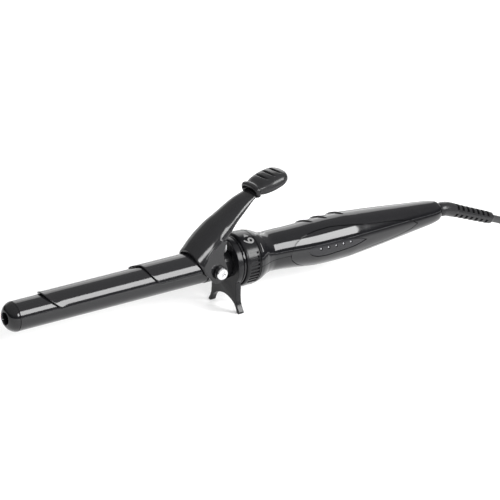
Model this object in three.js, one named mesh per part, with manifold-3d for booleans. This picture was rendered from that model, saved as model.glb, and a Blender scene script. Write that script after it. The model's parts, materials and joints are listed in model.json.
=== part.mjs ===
// Clamp curling iron: hinged clamp with a thumb lever, dial ring, two-shell handle with three push keys
// and a light row, swivel cord exit, mains cord put away in a tied hank, two-pin plug.
// Millimetres, +Z up. Drawn along the barrel axis (tip at X = 0, axis at Z = 0), then placed so that
// the stand legs touch Z = 0 and the object is centred over the origin.
import * as THREE from 'three';
import { mergeVertices } from 'three/addons/utils/BufferGeometryUtils.js';
import Module from 'manifold-3d';

const wasm = await Module();
wasm.setup();

// ---------------------------------------------------------------- driving dimensions (mm)
const AXIS_HEIGHT = 30.7;         // barrel axis above the table
const BARREL_R = 9.5;             // 19 mm barrel
const BARREL_WALL = 0.8;
const BARREL_X0 = 6.2, BARREL_X1 = 144.6;
const TIP_OPENING_R = 3.4;
const SPOON_R = 10.75, SPOON_WALL = 0.9, SPOON_HALF_ANGLE = 82;
const SLEEVE_R = 12.0, SLEEVE_WALL = 0.9, SLEEVE_HALF_ANGLE = 84;
const PIVOT_X = 150, PIVOT_Z = 0;
const CHEEK_IN = 10.7, CHEEK_OUT = 13.2;
const HUB_R = 9.8;
const FLANGE_R = 16.8, FLANGE_X0 = 163.0, FLANGE_X1 = 167.2;
const DIAL_R = 17.7, DIAL_X0 = 169.6, DIAL_X1 = 180.3;
const HANDLE_X0 = 180.7, HANDLE_X1 = 343.4, HANDLE_WALL = 2.4;
const SEAM_Z = -1.5;
const SWIVEL_Z = -2.5;            // swivel axis, below the barrel axis
const RELIEF_END_X = 393.2, RELIEF_END_Z = -18.4;
const CORD_D = 5.2;
const CENTRE_X = 197.4;           // half the length from the tip to the end of the strain relief
const SEG = 32;

// handle: centre line drop and radius along X
const HX = [180.7, 183.2, 186, 190, 196, 204, 212, 222, 234, 246, 258, 270, 282, 294, 306, 318, 330, 336, 340.4, 342.6, 343.4];
const HR = [17.7, 17.3, 16.3, 14.6, 13.3, 13.5, 13.8, 14.4, 15.2, 15.5, 15.4, 14.6, 13.6, 12.5, 11.3, 10.1, 8.9, 8.2, 7.3, 6.3, 5.4];
const HZX = [172, 196, 204, 212, 222, 234, 260, 344];
const HZ = [0, 0, -0.24, -0.73, -1.35, -1.8, -1.9, -2.5];

const lerpTable = (xs, ys, x) => {
  if (x <= xs[0]) return ys[0];
  for (let i = 1; i < xs.length; i++) if (x <= xs[i]) {
    const t = (x - xs[i - 1]) / (xs[i] - xs[i - 1]);
    return ys[i - 1] + t * (ys[i] - ys[i - 1]);
  }
  return ys[ys.length - 1];
};
const handleR = x => lerpTable(HX, HR, x);
const handleZ = x => lerpTable(HZX, HZ, x);
const rad = d => d * Math.PI / 180;

// ---------------------------------------------------------------- geometry helpers
const bare = g => {
  const c = g.clone();
  c.deleteAttribute('normal'); c.deleteAttribute('uv');
  if (c.attributes.uv1) c.deleteAttribute('uv1');
  return mergeVertices(c, 1e-4);
};
const signedVolume = g => {
  const p = g.attributes.position, ix = g.index;
  const a = new THREE.Vector3(), b = new THREE.Vector3(), c = new THREE.Vector3();
  let v = 0;
  for (let i = 0; i < ix.count; i += 3) {
    a.fromBufferAttribute(p, ix.getX(i)); b.fromBufferAttribute(p, ix.getX(i + 1)); c.fromBufferAttribute(p, ix.getX(i + 2));
    v += a.dot(b.cross(c)) / 6;
  }
  return v;
};
const outward = g => {
  if (signedVolume(g) < 0) {
    const ix = g.index;
    for (let i = 0; i < ix.count; i += 3) { const t = ix.getX(i); ix.setX(i, ix.getX(i + 1)); ix.setX(i + 1, t); }
  }
  return g;
};
const closed = g => {
  const m = outward(bare(g));
  const keep = [], ix = m.index;
  for (let i = 0; i < ix.count; i += 3) {
    const a = ix.getX(i), b = ix.getX(i + 1), c = ix.getX(i + 2);
    if (a !== b && b !== c && a !== c) keep.push(a, b, c);
  }
  m.setIndex(keep);
  return m;
};
const S = g => {
  const m = closed(g);
  return new wasm.Manifold(new wasm.Mesh({
    numProp: 3,
    vertProperties: new Float32Array(m.attributes.position.array),
    triVerts: new Uint32Array(m.index.array),
  }));
};
const G = s => {
  const m = s.getMesh();
  const g = new THREE.BufferGeometry();
  g.setAttribute('position', new THREE.BufferAttribute(new Float32Array(m.vertProperties), 3));
  g.setIndex(new THREE.BufferAttribute(new Uint32Array(m.triVerts), 1));
  return g;
};
const box = (x0, x1, y0, y1, z0, z1) =>
  new THREE.BoxGeometry(x1 - x0, y1 - y0, z1 - z0).translate((x0 + x1) / 2, (y0 + y1) / 2, (z0 + z1) / 2);
// cylinder along X, Y or Z
const rod = (axis, r, a0, a1, u, v, seg = 20, r2 = r) => {
  const g = new THREE.CylinderGeometry(r2, r, a1 - a0, seg);
  if (axis === 'x') return g.rotateZ(-Math.PI / 2).translate((a0 + a1) / 2, u, v);
  if (axis === 'y') return g.translate(u, (a0 + a1) / 2, v);
  return g.rotateX(Math.PI / 2).translate(u, v, (a0 + a1) / 2);
};
// solid or ring of revolution about X: profile of [radius, x]
const turned = (profile, seg = SEG, z = 0, y = 0) =>
  new THREE.LatheGeometry(profile.map(([r, x]) => new THREE.Vector2(r, x)), seg).rotateZ(-Math.PI / 2).translate(0, y, z);
const ring = (ri, ro, x0, x1, seg = SEG, z = 0) => turned([[ri, x0], [ro, x0], [ro, x1], [ri, x1], [ri, x0]], seg, z);
// a box with inner divisions whose points are moved by f(u, v, w), each 0 to 1
const bent = (nu, nv, nw, f) => {
  const g = bare(new THREE.BoxGeometry(1, 1, 1, nu, nv, nw));
  const p = g.attributes.position;
  for (let i = 0; i < p.count; i++) {
    const [x, y, z] = f(p.getX(i) + 0.5, p.getY(i) + 0.5, p.getZ(i) + 0.5);
    p.setXYZ(i, x, y, z);
  }
  return outward(g);
};
// a closed cylinder whose points are moved by f(t, angle, r): t and r 0 to 1, angle 0 at +Z growing towards -Y
const lofted = (nt, seg, f) => {
  const g = bare(new THREE.CylinderGeometry(1, 1, 1, seg, nt));
  const p = g.attributes.position;
  for (let i = 0; i < p.count; i++) {
    const x = p.getX(i), y = p.getY(i), z = p.getZ(i);
    const [a, b, c] = f(y + 0.5, Math.atan2(x, z), Math.min(1, Math.hypot(x, z)));
    p.setXYZ(i, a, b, c);
  }
  return outward(g);
};
// point on a surface round the X axis: angle (degrees) 0 at the top, positive towards -Y
const onRound = (x, deg, r, zc = 0) => [x, -r * Math.sin(rad(deg)), zc + r * Math.cos(rad(deg))];
const plateXZ = (pts, y0, y1) => {
  const s = new THREE.Shape(pts.map(([x, z]) => new THREE.Vector2(x, z)));
  return new THREE.ExtrudeGeometry(s, { depth: y1 - y0, bevelEnabled: false }).rotateX(Math.PI / 2).translate(0, y1, 0);
};
const plateYZ = (pts, x0, x1) => {
  // shape x = Y, shape y = Z
  const s = new THREE.Shape(pts.map(([y, z]) => new THREE.Vector2(y, z)));
  return new THREE.ExtrudeGeometry(s, { depth: x1 - x0, bevelEnabled: false }).rotateY(Math.PI / 2).rotateX(Math.PI / 2).translate(x0, 0, 0);
};
const circleSection = (r, n) => {
  const s = new THREE.Shape();
  for (let i = 0; i < n; i++) {
    const a = 2 * Math.PI * (i + 0.5) / n;
    i ? s.lineTo(r * Math.cos(a), r * Math.sin(a)) : s.moveTo(r * Math.cos(a), r * Math.sin(a));
  }
  s.closePath();
  return s;
};
const swept = (points, r, n, steps, straight = false) => {
  const v = points.map(p => new THREE.Vector3(...p));
  const path = straight ? new THREE.LineCurve3(v[0], v[1]) : new THREE.CatmullRomCurve3(v, false, 'centripetal');
  return new THREE.ExtrudeGeometry(circleSection(r, n), { steps, extrudePath: path, bevelEnabled: false });
};

// ---------------------------------------------------------------- materials and node list
const palette = {
  barrel_coat: ['#4b4b4e', 0.28, 0.55], clamp_coat: ['#47474a', 0.3, 0.5], gloss_black: ['#2b2b2d', 0.22, 0],
  satin_black: ['#333336', 0.45, 0], rubber_black: ['#2c2c2e', 0.6, 0], steel: ['#c9cacc', 0.25, 1],
  aluminium: ['#b9babd', 0.4, 1], ceramic: ['#d9d6cc', 0.6, 0], brass: ['#c2a25a', 0.35, 1],
  board: ['#2f6b45', 0.6, 0], lens: ['#3a3a3d', 0.12, 0], led: ['#c8c8c6', 0.3, 0], wire: ['#b8b4ac', 0.6, 0],
};
const materials = Object.fromEntries(Object.entries(palette).map(([k, [color, roughness, metalness]]) =>
  [k, new THREE.MeshStandardMaterial({ name: k, color, roughness, metalness })]));
const iron = new THREE.Group();
iron.position.set(-CENTRE_X, 0, AXIS_HEIGHT);
const add = (name, geometry, material) => {
  const mesh = new THREE.Mesh(closed(geometry), materials[material]);
  mesh.geometry.computeVertexNormals();
  mesh.name = name;
  iron.add(mesh);
  return mesh;
};

// ================================================================ barrel and heater
add('barrel_tube', ring(BARREL_R - BARREL_WALL, BARREL_R, BARREL_X0, BARREL_X1, 32), 'barrel_coat');

// domed tip cap with a round opening and a spigot inside the barrel
add('tip_cap', turned([
  [TIP_OPENING_R, 0.4], [3.9, 0.15], [4.8, 0.45], [6.0, 1.05], [7.1, 1.85], [8.05, 2.85], [8.8, 4.0], [9.26, 5.0], [9.45, 5.9],
  [8.4, 5.9], [8.4, 22], [1.5, 22], [1.5, 9], [TIP_OPENING_R, 8.4], [TIP_OPENING_R, 0.4],
], 24), 'gloss_black');
add('tip_screw', turned([[0, 7.0], [2.3, 7.2], [2.6, 8.0], [2.6, 8.1], [1.2, 8.7], [1.2, 27], [0, 27]], 14), 'steel');

// two half-round aluminium spreaders clasp the flat ceramic heater
const spreader = (sign) => {
  const full = S(rod('x', 8.3, 34, 122, 0, 0, 28));
  const half = sign > 0 ? S(box(30, 126, -9, 9, 1.35, 9)) : S(box(30, 126, -9, 9, -9, -1.35));
  return full.intersect(half);
};
add('heat_spreader_upper', G(spreader(1)), 'aluminium');
add('heat_spreader_lower', G(spreader(-1)), 'aluminium');
add('ptc_heater', box(38, 118, -6, 6, -1.0, 1.0), 'ceramic');
add('temperature_sensor', rod('x', 1.1, 123.2, 127.0, 3.6, 2.6, 10), 'ceramic');
add('thermal_fuse', rod('x', 1.6, 123.0, 128.2, -3.4, 2.9, 10), 'aluminium');
add('barrel_insulator', ring(8.1, 8.4, 129.5, 144.2, 28), 'ceramic');
for (const [n, y] of [['heater_lead_live', -2.6], ['heater_lead_neutral', 2.6]])
  add(n, swept([[118.4, y, 0], [128, y, -1.0], [142, y, -2.5], [170, y, -2.8], [190, y, -3.0], [203.6, y, -4.6]], 0.7, 6, 12), 'wire');

// ================================================================ clamp
const spoonFront = d => 25.6 + 9.2 * Math.pow(Math.min(1, Math.abs(d) / 80), 2.2);
// the sleeve's front edge is cut on a slant, further forward on the far side
const sleeveFront = d => d >= 0 ? 99.2 + 6.4 * Math.pow(d / 80, 2.4) : 99.2 - 4.6 * Math.min(1, -d / 28) + 7.5 * Math.pow(Math.max(0, -d - 28) / 52, 2.2);
const leverFront = d => 133.7 + 9.0 * Math.pow(Math.abs(d) / 105, 2.3);
add('clamp_spoon', bent(6, 12, 1, (u, v, w) => {
  const d = (v * 2 - 1) * SPOON_HALF_ANGLE, x0 = spoonFront(d);
  const lip = 1 + 0.035 * Math.pow(1 - Math.min(1, u * 8), 2);
  return onRound(x0 + u * (132.4 - x0), d, (SPOON_R - SPOON_WALL + w * SPOON_WALL) * lip);
}), 'clamp_coat');
add('clamp_sleeve', bent(3, 12, 1, (u, v, w) => {
  const d = (v * 2 - 1) * SLEEVE_HALF_ANGLE, x0 = sleeveFront(d), x1 = 138.2;
  return onRound(x0 + u * (x1 - x0), d, SLEEVE_R - SLEEVE_WALL + w * SLEEVE_WALL);
}), 'clamp_coat');

// thumb lever: a tapering channel that rises from the sleeve and ends inside the thumb cap
const LX = [133.5, 138, 143.5, 151.4, 155.2, 159, 166.6, 173.8, 180.9, 184.5, 192, 203];
const LA = [12.95, 13.1, 13.15, 12.7, 12.0, 11.3, 9.9, 8.7, 7.2, 6.7, 6.7, 6.4];
const LB = [12.95, 12.9, 12.6, 12.0, 11.4, 10.6, 7.7, 6.2, 3.9, 2.9, 2.4, 2.0];
const LZ = [0.0, 4.2, 10.3, 17.0, 20.1, 22.9, 29.9, 35.2, 40.0, 42.0, 44.5, 47.2];
const rootRise = x => lerpTable([133.5, 138, 143.5, 149], [1.5, 1.5, 0.3, 0], x);   // thicker, squarer top at the root
const LEVER_WALL = 1.6;
const leverSheet = bent(13, 12, 1, (u, v, w) => {
  const q = v * 2 - 1, d = q * 98, x0 = leverFront(d);
  const x = x0 + u * (203 - x0);
  const xe = x - (x0 - 133.7) * 0.9 * Math.pow(Math.max(0, 1 - u * 4), 2);
  const a = lerpTable(LX, LA, xe), b = lerpTable(LX, LB, xe), z0 = lerpTable(LX, LZ, xe);
  const k = (1 - w) * lerpTable([139.4, 144], [0.6, LEVER_WALL], x);
  const aa = a - k, bb = Math.max(0.4, b - k);
  const zz = z0 + bb * Math.cos(rad(d)) + w * rootRise(xe) * Math.pow(Math.max(0, Math.cos(rad(d))), 0.6);
  return [x, -aa * Math.sin(rad(d)), zz];
});
const cheekOutline = [];
for (let a = 205; a <= 350; a += 14.5) cheekOutline.push([PIVOT_X + 7.4 * Math.cos(rad(a)), PIVOT_Z + 7.4 * Math.sin(rad(a))]);
cheekOutline.push([157.0, 1.6], [155.6, 4.8], [154.4, 7.4], [153.8, 10.2], [154.1, 13.0], [155.2, 16.0], [156.8, 19.0], [152, 20.5], [146, 16], [141, 10.5], [138.6, 6.5], [138.8, 2.6], [140.8, -0.6]);
const cheek = s => {
  const g = plateXZ(cheekOutline, Math.min(s * CHEEK_IN, s * CHEEK_OUT), Math.max(s * CHEEK_IN, s * CHEEK_OUT));
  return S(g).subtract(S(rod('y', 3.8, -20, 20, PIVOT_X, PIVOT_Z, 20)));
};
const springTab = S(box(152, 153.6, -4.8, 4.8, 9.0, 27.9));
let lever = S(leverSheet).add(cheek(-1)).add(cheek(1)).add(springTab);
add('clamp_lever', G(lever), 'satin_black');

// thumb cap: a boot pushed over the end of the lever, with three cross grooves
const CAP_X = 196.6, CAP_Z = 47.6, CAP_TILT = 14.5, CAP_L = 28;
const capShape = (t, a, r, shrink) => {
  // t 0 at the mouth, 1 at the far end; a = section angle
  const l = CAP_L - shrink * (t > 0.5 ? 1 : 0);
  const s = -CAP_L / 2 + t * l;
  const hw = lerpTable([0, 0.08, 0.25, 0.5, 0.72, 0.86, 0.94, 0.985, 1], [8.1, 8.4, 9.5, 10.5, 10.3, 9.0, 7.0, 4.2, 2.0], t) - shrink;
  const hh = lerpTable([0, 0.08, 0.3, 0.55, 0.78, 0.9, 0.96, 1], [4.5, 4.4, 5.4, 5.9, 5.4, 4.3, 3.0, 1.2], t) - shrink;
  const ca = Math.cos(a), sa = Math.sin(a);
  const y = -r * hw * Math.sign(sa) * Math.pow(Math.abs(sa), 0.86), z = r * hh * Math.sign(ca) * Math.pow(Math.abs(ca), 0.9);
  const c = Math.cos(rad(CAP_TILT)), n = Math.sin(rad(CAP_TILT));
  return [CAP_X + s * c - z * n, y, CAP_Z + s * n + z * c];
};
let cap = S(lofted(9, 16, (t, a, r) => capShape(t, a, r, 0)));
const pocket = bent(4, 8, 1, (u, v, w) => {
  const x = 176 + u * (204 - 176), q = v * 2 - 1, d = q * 112;
  const a = lerpTable(LX, LA, x) + 0.35, b = lerpTable(LX, LB, x), z0 = lerpTable(LX, LZ, x);
  return [x, -a * Math.sin(rad(d)), z0 + (w ? (b + 0.4) * Math.cos(rad(d)) : Math.min(b * Math.cos(rad(d)) - 2.2, -2.0))];
});
cap = cap.subtract(S(pocket));
for (const [s, hw] of [[-3.2, 7.0], [2.0, 7.4], [6.9, 6.6]]) {
  const groove = bent(1, 4, 1, (u, v, w) => {
    const q = v * 2 - 1, c = Math.cos(rad(CAP_TILT)), n = Math.sin(rad(CAP_TILT));
    const y = -q * hw, ss = s + (u - 0.5) * 1.3 + 1.2 * q * q, z = 4.9 - 1.5 * q * q + w * 3 + 0.2;
    return [CAP_X + ss * c - z * n, y, CAP_Z + ss * n + z * c];
  });
  cap = cap.subtract(S(groove));
}
add('thumb_cap', G(cap), 'rubber_black');

// closing spring between the lever's tab and the flange
const SPRING_Z = 11.4, SPRING_X0 = 153.9, SPRING_X1 = 162.7, SPRING_WIRE = 0.62, SPRING_R = 4.15;
const coil = [];
for (let i = 0; i <= 44; i++) {
  const t = i / 44, a = t * 4 * 2 * Math.PI;
  const f = lerpTable([0, 0.12, 0.88, 1], [0, 0.03, 0.97, 1], t);
  coil.push([SPRING_X0 + SPRING_WIRE + f * (SPRING_X1 - SPRING_X0 - 2 * SPRING_WIRE), SPRING_R * Math.sin(a), SPRING_Z + SPRING_R * Math.cos(a)]);
}
add('clamp_spring', swept(coil, SPRING_WIRE, 4, 48), 'steel');

// ================================================================ front hub, stand, pivot
let hub = S(turned([
  [6.2, 131], [7.9, 131], [7.9, 145.0], [HUB_R, 145.0], [HUB_R, 167.6], [11.4, 167.6], [11.4, 188], [6.2, 188], [6.2, 131],
], 32));
for (const s of [-1, 1]) hub = hub.add(S(rod('y', 3.5, s > 0 ? 8.6 : -13.4, s > 0 ? 13.4 : -8.6, PIVOT_X, PIVOT_Z, 20)));
hub = hub.subtract(S(rod('y', 1.45, -20, 20, PIVOT_X, PIVOT_Z, 12)))
  .subtract(S(box(151.4, 162.7, -5.2, 5.2, 6.3, 20)));
add('front_hub', G(hub), 'satin_black');

// flange and stand legs are one plate square to the barrel
const plate = [];
const leg = [[13.35, -14], [13.3, -20.5], [13.7, -24.0], [14.9, -27.0], [16.2, -28.8], [16.7, -30.0], [16.3, -30.7], [14.4, -30.7], [13.6, -29.4], [12.7, -27.2], [11.3, -25.2], [8.3, -23.2], [4.2, -21.6], [0, -21.0]];
for (let a = -40; a <= 220; a += 13) plate.push([FLANGE_R * Math.cos(rad(a)), FLANGE_R * Math.sin(rad(a))]);
const left = leg.map(([y, z]) => [-y, z]);
plate.push(...left);
plate.push(...leg.slice(0, -1).reverse());
let stand = S(plateYZ(plate, FLANGE_X0, FLANGE_X1)).subtract(S(rod('x', HUB_R + 0.3, 160, 170, 0, 0, 32)));
// the legs are a little thinner than the flange
stand = stand.subtract(S(box(FLANGE_X1 - 0.7, FLANGE_X1 + 2, -30, 30, -40, -17.2)));
add('stand_flange', G(stand), 'satin_black');
add('front_lip_ring', turned([[11.8, 167.9], [16.0, 167.9], [16.5, 168.3], [16.5, 169.2], [11.8, 169.2], [11.8, 167.9]], SEG), 'gloss_black');
for (const [side, s] of [['near', -1], ['far', 1]]) {
  const washer = S(rod('y', 4.6, s > 0 ? 13.6 : -15.5, s > 0 ? 15.5 : -13.6, PIVOT_X, PIVOT_Z, 22)).subtract(S(rod('y', 1.75, -20, 20, PIVOT_X, PIVOT_Z, 12)));
  add('pivot_washer_' + side, G(washer), 'gloss_black');
  let head = S(rod('y', 3.9, s > 0 ? 15.8 : -17.0, s > 0 ? 17.0 : -15.8, PIVOT_X, PIVOT_Z, 22));
  const dome = s > 0 ? rod('y', 3.9, 17.0, 17.7, PIVOT_X, PIVOT_Z, 22, 3.1) : rod('y', 3.1, -17.7, -17.0, PIVOT_X, PIVOT_Z, 22, 3.9);
  head = head.add(S(dome)).add(S(rod('y', 1.15, s > 0 ? 9.2 : -16, s > 0 ? 16 : -9.2, PIVOT_X, PIVOT_Z, 12)));
  const cross = (a) => S(box(-2.2, 2.2, 16.7, 19, -0.42, 0.42).rotateY(a).translate(PIVOT_X, s > 0 ? 0 : -35.7, PIVOT_Z));
  head = head.subtract(cross(0.35)).subtract(cross(0.35 + Math.PI / 2));
  add('pivot_screw_' + side, G(head), 'steel');
}

// ================================================================ dial
let dial = S(turned([
  [11.75, 169.6], [16.9, 169.6], [17.5, 170.2], [17.75, 171.4], [17.8, 180.3], [14.9, 180.3], [14.9, 170.2], [11.75, 170.2], [11.75, 169.6],
], 36));
for (const base of [97, 277]) for (let i = 0; i < 9; i++) {
  const d = base - 34 + i * 8.5;
  dial = dial.subtract(S(bent(1, 1, 1, (u, v, w) => onRound(172.5 + u * 6.3, d + (v - 0.5) * 4.2, 17.1 + w * 2))));
}
dial = dial.add(S(box(173.5, 176.5, -1.2, 1.2, 13.2, 15.4)));
add('dial_ring', G(dial), 'satin_black');
add('dial_contact_ring', ring(11.7, 14.4, 177.6, 178.8, 28), 'board');
add('dial_wiper', G(S(box(176.8, 177.3, -2.0, 2.0, 12.2, 14.5)).add(S(box(174.2, 176.9, -2.6, -1.5, 13.0, 14.5)))), 'brass');
add('dial_detent_spring', bent(6, 1, 1, (u, v, w) => {
  const d = 160 + u * 40; return onRound(170.6 + v * 2.4, d, 13.2 + w * 0.4 + 1.0 * Math.sin(Math.PI * u) * 0.9);
}), 'steel');

// ================================================================ handle shells
const STX = [180.7, 183.2, 186, 190, 196, 206, 220, 236, 252, 268, 284, 300, 318, 334, 340.4, 342.6, 343.4];
const station = t => lerpTable(STX.map((_, i) => i / (STX.length - 1)), STX, t);
const outer = lofted(STX.length - 1, 28, (t, a, r) => {
  const x = station(t), R = handleR(x) * r, z = handleZ(x);
  return [x, -R * Math.sin(a), z + R * Math.cos(a)];
});
const SIX = [183.4, 190, 196, 214, 236, 258, 284, 312, 339.6];
const inner = lofted(SIX.length - 1, 16, (t, a, r) => {
  const x = lerpTable(SIX.map((_, i) => i / (SIX.length - 1)), SIX, t);
  const R = Math.max(4, (handleR(x) - HANDLE_WALL)) * r, z = handleZ(x);
  return [x, -R * Math.sin(a), z + R * Math.cos(a)];
});
let body = S(outer).subtract(S(inner))
  .subtract(S(rod('x', 13.4, 179, 188.2, 0, 0, 28)))
  .subtract(S(rod('x', 5.6, 330.8, 339.7, 0, SWIVEL_Z, 20))).subtract(S(rod('x', 4.1, 339, 346, 0, SWIVEL_Z, 20)));

// leaf-shaped panel on the side, across the seam
const PX0 = 207.6, PX1 = 317;
const panelTop = x => lerpTable([207.6, 208.2, 210.2, 213, 216.7, 224, 232, 240, 253.7, 263.4, 272.7, 281.6, 292.4, 301.5, 310.3, 317], [97, 84, 72.6, 62, 54, 45, 41, 40.5, 46.6, 52.4, 56.8, 60, 64, 69.5, 78, 96], x);
const panelBottom = x => lerpTable([207.6, 208.2, 211.5, 215.5, 222.5, 232, 246, 258, 267, 277.2, 293.6, 303, 312, 317], [97, 106, 119, 131, 141, 145, 142, 135, 129, 126, 123.5, 119, 110, 96], x);
const sheetOn = (x0, x1, nu, nv, top, bottom, dr0, dr1, grow = 0) => bent(nu, nv, 1, (u, v, w) => {
  const uu = 0.5 - 0.5 * Math.cos(Math.PI * u), x = x0 - grow + uu * (x1 - x0 + 2 * grow), xc = Math.min(x1, Math.max(x0, x));
  const g = grow / handleR(xc) * 180 / Math.PI;
  const a = top(xc) - g, b = bottom(xc) + g, d = a + v * (b - a);
  return onRound(x, d, handleR(xc) + dr0 + w * (dr1 - dr0), handleZ(xc));
});
body = body.subtract(S(sheetOn(PX0, PX1, 14, 6, panelTop, panelBottom, -1.5, 2.5, 0.35)));
const LENS_X0 = 221.5, LENS_X1 = 269;
const lensTop = x => lerpTable([221.5, 222.6, 225, 230, 239, 250.8, 259.3, 266, 269], [92, 87, 81.5, 76, 75, 79, 84, 90, 94], x);
const lensBottom = x => lerpTable([221.5, 222.6, 225, 230, 236.4, 242.6, 255.4, 264, 269], [92, 98, 104, 109, 110, 108, 104.5, 99.5, 94], x);
let panel = S(sheetOn(PX0, PX1, 14, 6, panelTop, panelBottom, -1.15, 0.0))
  .subtract(S(sheetOn(LENS_X0, LENS_X1, 8, 2, lensTop, lensBottom, -2, 1, 0.3)));
add('leaf_panel', G(panel), 'gloss_black');
const LED_X = [231.3, 237.45, 243.6, 249.75, 255.9];
let lens = S(sheetOn(LENS_X0, LENS_X1, 8, 2, lensTop, lensBottom, -1.15, -0.45));
for (const x of LED_X) {
  const z = handleZ(x), R = handleR(x);
  lens = lens.subtract(S(rod('y', 1.05, -R - 2, -R + 3, x, z, 12)));
  body = body.subtract(S(rod('y', 1.2, -R - 2, -R + 5, x, z, 12)));
  add('led_' + (LED_X.indexOf(x) + 1), G(S(rod('y', 0.78, -R + 0.75, -R + 4.4, x, z, 10))), 'led');
}
add('led_lens', G(lens), 'lens');

// three leaf-shaped keys on top, each set across the handle at a slant
const KEYS = [231.6, 243.6, 257.4];
const keyCentre = KEYS.map(x => [x - 1.7, -13]);       // X and angle of the middle
const keySolid = (x, deg, grow, r0, r1) => {
  // leaf outline in the surface, long axis slanted
  // a key narrows a little towards its foot, so it clears its opening when pressed
  return bent(8, 2, 1, (u, v, w) => {
    const p = u * 2 - 1, q = v * 2 - 1, foot = grow ? 0 : 0.28 * (1 - w);
    const L = 6.3 + grow - foot, W = 1.85 + grow - foot * 0.5;
    const half = W * Math.pow(Math.max(0.05, 1 - p * p), 0.62);
    const a = p * L, b = q * half, c = Math.cos(rad(64)), s = Math.sin(rad(64));
    const xx = x + a * c - b * s, arc = a * s + b * c;
    const R = handleR(xx), crown = (1 - q * q) * (1 - p * p * p * p) * 0.55 * w;
    return onRound(xx, deg + arc / R * 180 / Math.PI, R + r0 + w * (r1 - r0) + (grow ? 0 : crown), handleZ(xx));
  });
};
keyCentre.forEach(([x, d], i) => {
  body = body.subtract(S(keySolid(x, d, 0.42, -5, 3)));
  const R = handleR(x), z = handleZ(x), n = rad(d);
  const stem = new THREE.CylinderGeometry(1.2, 1.2, 3.0, 10).rotateX(Math.PI / 2).translate(0, 0, R - 4.3).rotateX(n).translate(x, 0, z);
  let key = S(keySolid(x, d, 0, -3.0, 0.55)).add(S(stem));
  add('key_' + (i + 1), G(key), 'gloss_black');
  const sw = box(-2.4, 2.4, -2.4, 2.4, R - 9.2, R - 6.7).rotateX(n).translate(x, 0, z);
  add('key_switch_' + (i + 1), sw, 'satin_black');
});

// bosses for the two case screws, in both halves
const upperHalf = S(box(170, 350, -30, 30, SEAM_Z + 0.15, 40)), lowerHalf = S(box(170, 350, -30, 30, -40, SEAM_Z - 0.15));
let upper = body.intersect(upperHalf), lower = body.intersect(lowerHalf);
const screwX = [277, 318];
for (const x of screwX) {
  const R = handleR(x), z = handleZ(x);
  upper = upper.add(S(rod('z', 2.1, SEAM_Z + 0.15, z + R - 1.6, x, 0, 12))).subtract(S(rod('z', 1.35, SEAM_Z - 1, SEAM_Z + 6, x, 0, 10)));
  lower = lower.add(S(rod('z', 2.9, z - R + 1.6, SEAM_Z - 0.15, x, 0, 14))).subtract(S(rod('z', 2.15, z - R - 2, z - R + 3.4, x, 0, 14))).subtract(S(rod('z', 1.35, z - R, SEAM_Z + 1, x, 0, 10)));
}
add('handle_shell_upper', G(upper), 'satin_black');
add('handle_shell_lower', G(lower), 'satin_black');
screwX.forEach((x, i) => {
  const z = handleZ(x), R = handleR(x);
  const s = S(rod('z', 1.85, z - R + 1.5, z - R + 3.1, x, 0, 12)).add(S(rod('z', 1.05, z - R + 2, SEAM_Z + 5, x, 0, 10)));
  add(i ? 'case_screw_rear' : 'case_screw_front', G(s), 'steel');
});

// control board and its parts
add('control_board', box(206, 268, -8.2, 8.2, -6.9, -5.3), 'board');
add('led_board', box(228.2, 259, -10.0, -9.0, -4.6, 1.6), 'board');

// ================================================================ swivel cord exit
add('swivel_bushing', ring(4.1, 5.4, 336.8, 339.4, 24, SWIVEL_Z), 'brass');
let spool = S(turned([[0, 327.4], [3.6, 327.4], [3.6, 334.6], [4.9, 334.6], [4.9, 336.4], [3.9, 336.4], [3.9, 341.0], [0, 341.0]], 20, SWIVEL_Z));
add('swivel_spool', G(spool), 'satin_black');
add('slip_ring_live', ring(3.85, 4.3, 328.4, 330.4, 20, SWIVEL_Z), 'brass');
add('slip_ring_neutral', ring(3.85, 4.3, 331.8, 333.8, 20, SWIVEL_Z), 'brass');
add('brush_live', box(326.2, 330.1, -1.0, 1.0, SWIVEL_Z + 4.6, SWIVEL_Z + 5.1), 'brass');
add('brush_neutral', box(326.2, 333.5, -1.0, 1.0, SWIVEL_Z - 5.1, SWIVEL_Z - 4.6), 'brass');

// elbow and ribbed strain relief in one rubber piece; slots top and bottom, spines left and right
const RP = [[341.3, -2.5], [346.5, -2.5], [350.5, -2.85], [355.3, -4.3], [360.2, -6.05], [366, -8.25], [374.3, -11.35], [384.5, -15.15], [RELIEF_END_X, RELIEF_END_Z]];
const reliefCurve = new THREE.CatmullRomCurve3(RP.map(([x, z]) => new THREE.Vector3(x, 0, z)), false, 'centripetal');
const reliefR = t => lerpTable([0, 0.052, 0.075, 0.12, 0.3, 0.36, 0.94, 1], [3.7, 3.7, 4.7, 5.0, 4.9, 4.65, 4.2, 4.0], t);
const RT = [0, 0.052, 0.075, 0.12, 0.2, 0.28, 0.36, 0.46, 0.58, 0.7, 0.82, 0.94, 1];
const reliefSolid = lofted(12, 12, (t0, a, r) => {
  const t = RT[Math.round(t0 * 12)];
  const p = reliefCurve.getPointAt(t), q = reliefCurve.getTangentAt(t);
  const R = reliefR(t) * r;
  return [p.x - q.z * R * Math.cos(a), -R * Math.sin(a), p.z + q.x * R * Math.cos(a)];
});
let relief = S(reliefSolid);
const reliefLength = reliefCurve.getLength();
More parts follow.
